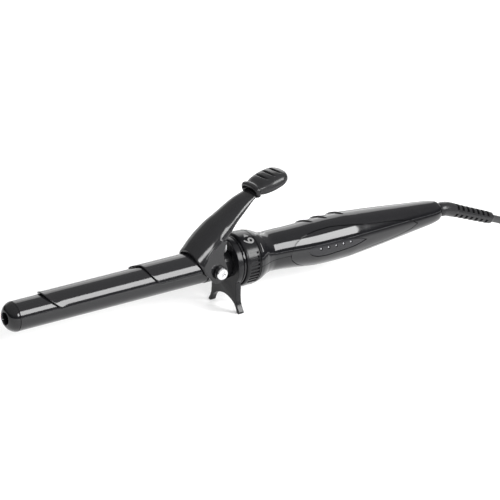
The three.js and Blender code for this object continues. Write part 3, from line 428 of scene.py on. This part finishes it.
# thumb cap: rubber boot with three cross grooves, beaded mouth
CAPX, CAPZ, CAPT, CAPL = 196.6, 47.6, rad(14.5), 28
def cap_point(t, q):
    hw = smooth([0, 0.03, 0.08, 0.13, 0.25, 0.5, 0.72, 0.86, 0.94, 0.985, 1], [7.9, 8.5, 8.6, 8.2, 9.4, 10.5, 10.3, 9.0, 7.0, 4.2, 2.0], t)
    hh = smooth([0, 0.03, 0.08, 0.13, 0.3, 0.55, 0.78, 0.9, 0.96, 1], [4.2, 4.8, 4.9, 4.4, 5.4, 5.9, 5.4, 4.3, 3.0, 1.2], t)
    c, s = math.cos(q), math.sin(q)
    y = -hw * math.copysign(abs(s) ** 0.86, s); z = hh * math.copysign(abs(c) ** 0.9, c)
    if t < 0.13:                          # beaded rim, rolled outward at both corners
        k = math.sin(math.pi * t / 0.13)
        z *= 1 + 0.34 * k * (abs(y) / hw) ** 5; y *= 1 + 0.05 * k
    l = -CAPL / 2 + t * CAPL
    if c > 0:
        for g, half in ((-3.2, 7.0), (2.0, 7.4), (6.9, 6.6)):
            if abs(y) < half:
                k = 1 - (abs(y) / half) ** 3
                dist = l - (g + 1.2 * (y / half) ** 2)
                z -= 1.35 * k * math.exp(-(dist / 0.60) ** 2) * min(1, c * 2.2)
    C, S = math.cos(CAPT), math.sin(CAPT)
    return (CAPX + l * C - z * S, y, CAPZ + l * S + z * C)
cap = loft("thumb_boot", 150, 96, cap_point, angle=80)
def pocket(u, v, w):
    x = 176 + u * 28; d = (v * 2 - 1) * 112
    aa, bb, z0 = lerp(LX, LA, x) + 0.35, lerp(LX, LB, x), lerp(LX, LZv, x)
    return (x, -aa * math.sin(rad(d)), z0 + ((bb + 0.4) * math.cos(rad(d)) if w else min(bb * math.cos(rad(d)) - 2.2, -2.0)))
boolean(cap, [grid_solid("p", 16, 24, pocket)], angle=50)
def mouth(t, q):                          # flared opening round the lever
    l, c, s = -CAPL / 2 - 1 + t * 5.2, math.cos(q), math.sin(q)
    hw, hh = lerp([0, 1], [7.5, 6.0], t), lerp([0, 1], [3.3, 1.6], t)
    y, z = -hw * math.copysign(abs(s) ** 0.8, s), hh * math.copysign(abs(c) ** 0.9, c)
    C, S = math.cos(CAPT), math.sin(CAPT)
    return (CAPX + l * C - z * S, y, CAPZ + l * S + z * C)
boolean(cap, [loft("m", 6, 48, mouth)], angle=50)
put(cap, "rubber_black", "clamp", "thumb_cap")

# spring between the lever tab and the flange
coil = []
for i in range(241):
    t = i / 240; q = t * 8 * math.pi; f = lerp([0, 0.12, 0.88, 1], [0, 0.03, 0.97, 1], t)
    coil.append(W(153.9 + 0.62 + f * (8.8 - 1.24), 4.15 * math.sin(q), 11.4 + 4.15 * math.cos(q)))
spring = tube("return_spring", coil, 0.00062, 12)
spring.data.materials.append(M["spring_steel"]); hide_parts("clamp_spring")
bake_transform(spring)

# ------------------------------------------------------------------ pivot, stand
for side, s in (("near", -1), ("far", 1)):
    put(turned("washer_" + side, [(1.75, s * 13.6), (4.4, s * 13.6), (4.6, s * 13.8), (4.6, s * 15.2), (4.3, s * 15.5), (1.75, s * 15.5), (1.75, s * 13.6)], 64, axis="y", x=150), "gloss_black", ROOT, "pivot_washer_" + side)
    head = turned("screw_" + side, [(0, s * 9.2), (1.15, s * 9.2), (1.15, s * 15.8), (3.75, s * 15.8), (3.9, s * 16.0), (3.9, s * 16.7), (3.75, s * 17.1), (3.4, s * 17.45), (2.6, s * 17.62), (0, s * 17.7)], 64, axis="y", x=150)
    cuts = []
    for q in (0.35, 0.35 + math.pi / 2):
        k = block("k", -2.1, 2.1, s * 16.7 if s > 0 else -19, 19 if s > 0 else -16.7, -0.42, 0.42)
        for v in k.data.vertices:
            p = v.co - W(0, 0, 0)
            v.co = W(150, 0, 0) + Vector((p.x * math.cos(q) + p.z * math.sin(q), p.y, -p.x * math.sin(q) + p.z * math.cos(q)))
        cuts.append(k)
    boolean(head, cuts)
    put(head, "steel", ROOT, "pivot_screw_" + side)

LEG = [(13.35, -14), (13.28, -17), (13.3, -20.5), (13.7, -24.0), (14.9, -27.0), (16.2, -28.8), (16.7, -29.8), (16.75, -30.3), (16.3, -30.7), (14.4, -30.7), (13.75, -30.1), (13.5, -29.2), (12.7, -27.2), (11.3, -25.2), (8.3, -23.2), (4.2, -21.6), (0, -21.0)]
plate = [(16.8 * math.cos(rad(q)), 16.8 * math.sin(rad(q))) for q in range(-40, 221, 4)] + [(-y, z) for y, z in LEG] + LEG[:-1][::-1]
flange = prism("stand_plate", plate, 163.0, 167.2, "yz")
boolean(flange, [turned("h", [(0, 160), (10.1, 160), (10.1, 170), (0, 170)], 64)])
bevelled(flange, 0.7, 4, 50)
put(flange, "satin_black", ROOT, "stand_flange")
put(turned("lip", [(11.8, 167.9), (15.6, 167.9), (16.2, 168.1), (16.45, 168.5), (16.5, 168.9), (16.4, 169.2), (11.8, 169.2), (11.8, 167.9)], 96), "gloss_black", ROOT, "front_lip_ring")

# ------------------------------------------------------------------ dial
def handle_r0(x): return smooth([180.7, 183.2, 186], [17.7, 17.3, 16.3], x)
dial = turned("dial_body", [(11.75, 169.6), (16.6, 169.6), (17.1, 169.75), (17.45, 170.15), (17.7, 170.8), (17.76, 171.6), (17.8, 179.5), (17.7, 180.0), (17.4, 180.3), (14.9, 180.3), (14.9, 170.2), (11.75, 170.2), (11.75, 169.6)], 180)
ribs = []
for base in (97, 277):
    for i in range(9):
        d0 = base - 34 + i * 8.5
        ribs.append(grid_solid("k", 4, 4, lambda u, v, w, d0=d0: on_round(172.3 + u * 6.7, d0 + (v - 0.5) * 4.6, 16.6 + w * 2)))
boolean(dial, [grid_solid("k", 4, 60, lambda u, v, w, b=b: on_round(172.0 + u * 7.3, b - 37.5 + 75 * v, 17.5 + w * 2)) for b in (97, 277)] + ribs)
boolean(dial, [block("t", 173.5, 176.5, -1.2, 1.2, 13.2, 15.4)], "UNION")
put(dial, "satin_black", "dial", "dial_ring")
def number(text, deg, size):
    c = bpy.data.curves.new("n", "FONT"); c.body = text; c.size = size / 1000; c.align_x = "CENTER"; c.align_y = "CENTER"; c.extrude = 0.00004; c.offset = 0.00008; c.resolution_u = 4
    o = bpy.data.objects.new("n", c); bpy.context.scene.collection.objects.link(o)
    bpy.context.view_layer.update()
    me = bpy.data.meshes.new_from_object(o.evaluated_get(bpy.context.evaluated_depsgraph_get()))
    bpy.data.objects.remove(o)
    n = bpy.data.objects.new("dial_number_%s" % text, me); bpy.context.scene.collection.objects.link(n)
    for v in me.vertices:
        # text runs round the dial, its top towards the handle
        along, tall, out = v.co.x * 1000, v.co.y * 1000, v.co.z * 1000
        q = deg + math.degrees(along / 17.8)
        p = on_round(175.2 + tall, q, 17.8 + out + 0.05)
        v.co = W(*p)
    put(n, "print_white", "dial")
for text, deg in (("9", 34), ("8", -34), ("3", 154), ("5", 183), ("7", 212)):
    number(text, deg, 10.4)
# pointer beside the number, and the tapered reference mark on the handle's collar
put(grid_solid("dial_pointer", 8, 4, lambda u, v, w: on_round(175.9 + (v - 0.5) * 3.6 * u, 12.5 + 9.5 * u, 17.82 + 0.09 * w)), "print_white", "dial")
put(grid_solid("collar_mark", 24, 2, lambda u, v, w: on_round(183.0 + (v - 0.5) * (0.15 + 0.5 * u), 45 + 20 * u, handle_r0(183.0 + (v - 0.5) * (0.15 + 0.5 * u)) - 0.05 + 0.1 * w)), "print_white", ROOT)

# ------------------------------------------------------------------ handle
HXs = [180.7, 183.2, 186, 190, 196, 204, 212, 222, 234, 246, 258, 270, 282, 294, 306, 318, 330, 336, 340.4, 342.6, 343.4]
HRs = [17.7, 17.3, 16.3, 14.6, 13.3, 13.5, 13.8, 14.4, 15.2, 15.5, 15.4, 14.6, 13.6, 12.5, 11.3, 10.1, 8.9, 8.2, 7.3, 6.3, 5.4]
def hR(x): return smooth(HXs, HRs, x)
def hZ(x): return smooth([172, 196, 204, 212, 222, 234, 260, 344], [0, 0, -0.24, -0.73, -1.35, -1.8, -1.9, -2.5], x)
def handle_point(t, q):
    x = 180.7 + (343.4 - 180.7) * t
    return (x, -hR(x) * math.sin(q), hZ(x) + hR(x) * math.cos(q))
def handle_round(name):
    return loft(name, 220, 128, handle_point, angle=50)
def bore(x0, x1, f, name="k"):
    n = 60
    return loft(name, n, 64, lambda t, q: (x0 + (x1 - x0) * t, -f(x0 + (x1 - x0) * t) * math.sin(q), hZ(x0 + (x1 - x0) * t) + f(x0 + (x1 - x0) * t) * math.cos(q)))
PX0, PX1 = 207.6, 317
def panel_top(x): return smooth([207.6, 208.2, 210.2, 213, 216.7, 224, 232, 240, 253.7, 263.4, 272.7, 281.6, 292.4, 301.5, 310.3, 317], [97, 84, 72.6, 62, 54, 45, 41, 40.5, 46.6, 52.4, 56.8, 60, 64, 69.5, 78, 96], x)
def panel_bottom(x): return smooth([207.6, 208.2, 211.5, 215.5, 222.5, 232, 246, 258, 267, 277.2, 293.6, 303, 312, 317], [97, 106, 119, 131, 141, 145, 142, 135, 129, 126, 123.5, 119, 110, 96], x)
def lens_top(x): return smooth([221.5, 222.6, 225, 230, 239, 250.8, 259.3, 266, 269], [92, 87, 81.5, 76, 75, 79, 84, 90, 94], x)
def lens_bottom(x): return smooth([221.5, 222.6, 225, 230, 236.4, 242.6, 255.4, 264, 269], [92, 98, 104, 109, 110, 108, 104.5, 99.5, 94], x)
def leaf(name, x0, x1, nu, nv, top, bot, r0, r1, grow=0.0):
    def f(u, v, w):
        uu = 0.5 - 0.5 * math.cos(math.pi * u); x = x0 - grow + uu * (x1 - x0 + 2 * grow); xc = min(x1, max(x0, x))
        g = math.degrees(grow / hR(xc)); p, q = top(xc) - g, bot(xc) + g
        return on_round(x, p + v * (q - p), hR(xc) + r0 + w * (r1 - r0), hZ(xc))
    return grid_solid(name, nu, nv, f)
KEYS = [(x - 1.7, -13) for x in (231.6, 243.6, 257.4)]
def key_form(name, x, deg, grow, r0, r1, nu=40, nv=12):
    c, s = math.cos(rad(64)), math.sin(rad(64))
    def f(u, v, w):
        foot = 0 if grow else 0.28 * (1 - w); L, Wd = 6.3 + grow - foot, 1.85 + grow - foot * 0.5
        p, q = u * 2 - 1, v * 2 - 1
        half = Wd * max(0.05, 1 - p * p) ** 0.62
        a_, b_ = p * L, q * half
        xx, arc = x + a_ * c - b_ * s, a_ * s + b_ * c
        R = hR(xx); crown = 0 if grow else (1 - q * q) * (1 - p ** 4) * 0.6 * w
        return on_round(xx, deg + math.degrees(arc / R), R + r0 + w * (r1 - r0) + crown, hZ(xx))
    return grid_solid(name, nu, nv, f)
SZ = -1.5
def half_shell(name, z0, z1):
    """One moulded half: trimmed at the seam first, then hollowed and pocketed."""
    o = handle_round(name)
    boolean(o, [block("seam", 170, 360, -40, 40, z0, z1)])
    boolean(o, [bore(183.4, 339.6, lambda x: max(4, hR(x) - 2.4), "hollow"),
                turned("front_bore", [(0, 179), (13.4, 179), (13.4, 188.2), (0, 188.2)], 64),
                turned("swivel_bore", [(0, 330.8), (5.6, 330.8), (5.6, 339.7), (0, 339.7)], 48, z=-2.5),
                turned("cord_bore", [(0, 339), (4.1, 339), (4.1, 346), (0, 346)], 48, z=-2.5)])
    boolean(o, [leaf("panel_pocket", PX0, PX1, 70, 24, panel_top, panel_bottom, -1.9, 2.5, 0.6)])
    return o
handle = half_shell("handle", -60, SZ + 0.12)
lower = half_shell("handle_lower", SZ - 0.12, 60)
for x, d in KEYS: boolean(handle, [key_form("key_pocket", x, d, 0.55, -5, 3)])
def fix_normals(o):
    """Outer faces take the body's own round normal, so cut edges do not disturb the shine."""
    me = o.data; nors = [Vector(n.vector) for n in me.corner_normals]
    for p in me.polygons:
        c = p.center
        x = c.x * 1000 + CX
        if not 181 < x < 343: continue
        z = hZ(x); v = Vector((0, c.y * 1000, c.z * 1000 - H - z)); r = v.length
        if abs(r - hR(x)) > 0.35: continue
        n = v.normalized()
        if p.normal.dot(n) < 0.5: continue
        for li in p.loop_indices:
            q = me.vertices[me.loops[li].vertex_index].co; qx = q.x * 1000 + CX
            qx = min(343.0, max(181.0, qx))
            w = Vector((0, q.y * 1000, q.z * 1000 - H - hZ(qx))).normalized()
            slope = (hR(qx + 0.3) - hR(qx - 0.3)) / 0.6
            nors[li] = Vector((-slope, w.y, w.z)).normalized()
    me.normals_split_custom_set(nors)
def disc(x, rr, n=40): return [(x + rr * math.cos(2 * math.pi * i / n), rr * math.sin(2 * math.pi * i / n)) for i in range(n)]
for x in (277, 318):                      # case screws sit in round recesses on the underside
    z0 = hZ(x) - hR(x)
    boolean(lower, [prism("k", disc(x, 2.9), z0 + 1.6, SZ - 0.2, "xy")], "UNION")
    boolean(lower, [prism("k", disc(x, 2.15), z0 - 2, z0 + 3.4, "xy"), prism("k", disc(x, 1.35), z0, SZ + 1, "xy")])
fix_normals(handle); fix_normals(lower)
handle.name = "handle_upper"
put(handle, "handle_black", ROOT, "handle_shell_upper")
put(lower, "handle_black", ROOT, "handle_shell_lower")
panel = leaf("side_panel", PX0, PX1, 90, 40, panel_top, panel_bottom, -1.15, 0.0)
boolean(panel, [leaf("k", 221.5, 269, 50, 16, lens_top, lens_bottom, -2, 1, 0.36)])
fix_normals(panel)
put(panel, "gloss_black", ROOT, "leaf_panel")
lens = leaf("light_window", 221.5, 269, 60, 20, lens_top, lens_bottom, -1.15, -0.45)
LED = [231.3, 237.45, 243.6, 249.75, 255.9]
boolean(lens, [turned("k", [(0, -hR(x) - 2), (1.05, -hR(x) - 2), (1.05, -hR(x) + 3), (0, -hR(x) + 3)], 24, axis="y", x=x, z=hZ(x)) for x in LED])
put(lens, "lens", ROOT, "led_lens")
for i, x in enumerate(LED):
    R = hR(x)
    put(turned("light_%d" % (i + 1), [(0, -R + 0.72), (0.3, -R + 0.75), (0.52, -R + 0.88), (0.62, -R + 1.1), (0.62, -R + 4.4), (0, -R + 4.4)], 32, axis="y", x=x, z=hZ(x)), "led", ROOT, "led_%d" % (i + 1))
for i, (x, d) in enumerate(KEYS):
    k = key_form("key_top_%d" % (i + 1), x, d, 0, -3.0, 0.2)
    bevelled(k, 0.2, 2, 50)
    put(k, "handle_black", "key_%d_body" % (i + 1), "key_%d" % (i + 1), slot="gloss_black")

# ------------------------------------------------------------------ swivel elbow and strain relief
RP = [(341.3, -2.5), (346.5, -2.5), (350.5, -2.85), (355.3, -4.3), (360.2, -6.05), (366, -8.25), (374.3, -11.35), (384.5, -15.15), (REX, REZ)]
cl = curve_points([(x, 0, z) for x, z in RP], 0.4)
acc = [0.0]
for i in range(1, len(cl)): acc.append(acc[-1] + (cl[i] - cl[i - 1]).length)
TOT = acc[-1]
def at(t):
    s = min(max(t, 0), 1) * TOT
    i = next((k for k in range(1, len(acc)) if acc[k] >= s), len(acc) - 1)
    f = (s - acc[i - 1]) / (acc[i] - acc[i - 1])
    i0, i1 = max(0, i - 2), min(len(cl) - 1, i + 1)
    return cl[i - 1].lerp(cl[i], f), (cl[i1] - cl[i0]).normalized()
def relief_r(t): return smooth([0, 0.052, 0.075, 0.12, 0.3, 0.36, 0.94, 0.985, 1], [3.7, 3.7, 4.7, 5.0, 4.9, 4.65, 4.2, 4.1, 3.7], t)
seg, nt = 64, 160
V, F = [], []
for i in range(nt + 1):
    p, q = at(i / nt); R = relief_r(i / nt) / 1000; nrm = Vector((-q.z, 0, q.x))
    for j in range(seg):
        t = 2 * math.pi * j / seg
        V.append(p + nrm * (R * math.cos(t)) + Vector((0, -1, 0)) * (R * math.sin(t)))
for i in range(nt):
    for j in range(seg):
        k = (j + 1) % seg; F.append([i * seg + j, i * seg + k, (i + 1) * seg + k, (i + 1) * seg + j])
F.append(list(range(seg))[::-1]); F.append([nt * seg + j for j in range(seg)])
relief = obj("relief_boot", V, F, angle=40)
for i in range(7):
    t = (TOT * 1000 - 36.4 + i * 5.05) / (TOT * 1000)
    p, q = at(t); ang = math.atan2(q.z, q.x)
    for s in (1, -1):
        pts2 = []
        for j in range(25):          # arc outside a 2.7 mm core, 72 degrees each side of top or bottom
            th = rad(-72 + 144 * j / 24); pts2.append((math.sin(th) * 2.7, math.cos(th) * 2.7))
        for j in range(24, -1, -1):
            th = rad(-72 + 144 * j / 24); pts2.append((math.sin(th) * 7, math.cos(th) * 7))
        n = len(pts2); VV = []
        for dx in (-1.15, 1.15):
            for yy, zz in pts2:
                l = Vector((dx / 1000, yy / 1000, s * zz / 1000))
                VV.append(p + Vector((l.x * math.cos(ang) - l.z * math.sin(ang), l.y, l.x * math.sin(ang) + l.z * math.cos(ang))))
        boolean(relief, [obj("k", VV, [list(range(n)), list(range(2*n - 1, n - 1, -1))] + [[k, (k + 1) % n, n + (k + 1) % n, n + k] for k in range(n)])], angle=40)
put(relief, "rubber_black", "swivel", "strain_relief")

# ------------------------------------------------------------------ carried-over nodes
record = frame["record"]
slots = {s["node"]: s["material_slot"] for s in record["subparts"]}
for name, o in NODES.items():
    m = M[slots[name]]
    if not o.material_slots: o.data.materials.append(m)
    for s in o.material_slots: s.material = m

# ------------------------------------------------------------------ stage
floor = obj("floor", [Vector((-6, -6, -0.0001)), Vector((6, -6, -0.0001)), Vector((6, 6, -0.0001)), Vector((-6, 6, -0.0001))], [[0, 1, 2, 3]])
fm = material("floor_pale", (0.93, 0.93, 0.93), 0.6, tone=0.004, bump=0.01, grain=300, spec=0.2, emission=0.12)   # lit-from-below table
floor.data.materials.append(fm)
world = bpy.data.worlds.new("studio"); bpy.context.scene.world = world; world.use_nodes = True
wn, wl = world.node_tree.nodes, world.node_tree.links
# dim round the horizon, brighter overhead, so glossy black pieces keep their contrast
wc = wn.new("ShaderNodeTexCoord"); ws = wn.new("ShaderNodeSeparateXYZ"); wr = wn.new("ShaderNodeValToRGB")
wl.new(wc.outputs["Generated"], ws.inputs["Vector"]); wl.new(ws.outputs["Z"], wr.inputs["Fac"])
ramp = wr.color_ramp.elements
ramp[0].position, ramp[0].color = 0.0, (0.04, 0.04, 0.04, 1)
ramp[1].position, ramp[1].color = 0.8, (0.56, 0.56, 0.56, 1)
for z, c in ((0.17, 0.07), (0.36, 0.42)):
    m_ = ramp.new(z); m_.color = (c, c, c, 1)
wl.new(wr.outputs["Color"], wn["Background"].inputs["Color"])
wn["Background"].inputs["Strength"].default_value = 1.0
def area(name, direction, dist, sx, sy, power, target=W(180, 0, 10), along=Vector((1, 0, 0))):
    l = bpy.data.lights.new(name, "AREA"); l.shape = "RECTANGLE"; l.size = sx; l.size_y = sy; l.energy = power
    o = bpy.data.objects.new(name, l); bpy.context.scene.collection.objects.link(o)
    d = Vector(direction).normalized(); o.location = target + d * dist
    x = (along - d * along.dot(d)).normalized(); y = d.cross(x)
    o.rotation_mode = "QUATERNION"; o.rotation_quaternion = Matrix((x, y, d)).transposed().to_quaternion()
    return o
area("key_strip", (0.547, -0.72, 0.426), 1.3, 0.80, 0.60, 22, target=W(85, 0, 10))
area("back_sweep", (0.56, 0.76, 0.15), 2.4, 4.2, 0.80, 12)        # pale backdrop, seen in the upper rims
area("back_right", (0.60, 0.66, 0.50), 1.5, 0.9, 0.85, 5.0, target=W(270, 0, 10))
area("left_panel", (-0.30, -0.86, 0.42), 1.2, 0.42, 0.34, 7.0)    # glints on the lever edge and the tip dome
# even fill that whitens the floor; it makes no highlight of its own
sun = bpy.data.lights.new("fill", "SUN"); sun.energy = 0.45; sun.angle = rad(110)
fill = bpy.data.objects.new("fill", sun); bpy.context.scene.collection.objects.link(fill)
fill.rotation_euler = (rad(-12), rad(6), 0); fill.visible_glossy = False
# painted shade: grey-to-black cards lying on the floor just outside the picture stand for the floor's light falling
# off away from the object, so the glossy flanks reflect a dark zone under the highlight
C0 = Vector((150, 0, 0)) + back * 1449.96
def picture_edge(y, px):
    t = (px - 207.06) / 2281.4
    n = right + back * t                  # points on the edge satisfy n.(P - C0) = 0
    return C0.x - (n.y * (y - C0.y) + n.z * (FLOOR - C0.z)) / n.x
# the cards' greys step down from 0.75 to 0.012 away from the picture: painted shade for the falloff of the floor's
# light
shade_steps = [(506 + 34 * k, c) for k, c in enumerate((0.75, 0.55, 0.38, 0.25, 0.15, 0.08, 0.012))]
for k, (px, c) in enumerate(shade_steps):
    def edge(y): return picture_edge(y, shade_steps[k + 1][0]) if k < 6 else 720
    pts4 = [(picture_edge(-46, px), -46), (picture_edge(-480, px), -480), (edge(-480), -480), (edge(-46), -46)]
    card = obj("painted_shade_card_%d" % (k + 1), [W(x, y, FLOOR + 0.3) for x, y in pts4], [[0, 1, 2, 3]])
    card.data.materials.append(material("card_%d" % (k + 1), (c, c, c), 0.8, tone=0.02, spec=0.1))
bpy.context.scene.view_settings.view_transform = "Standard"
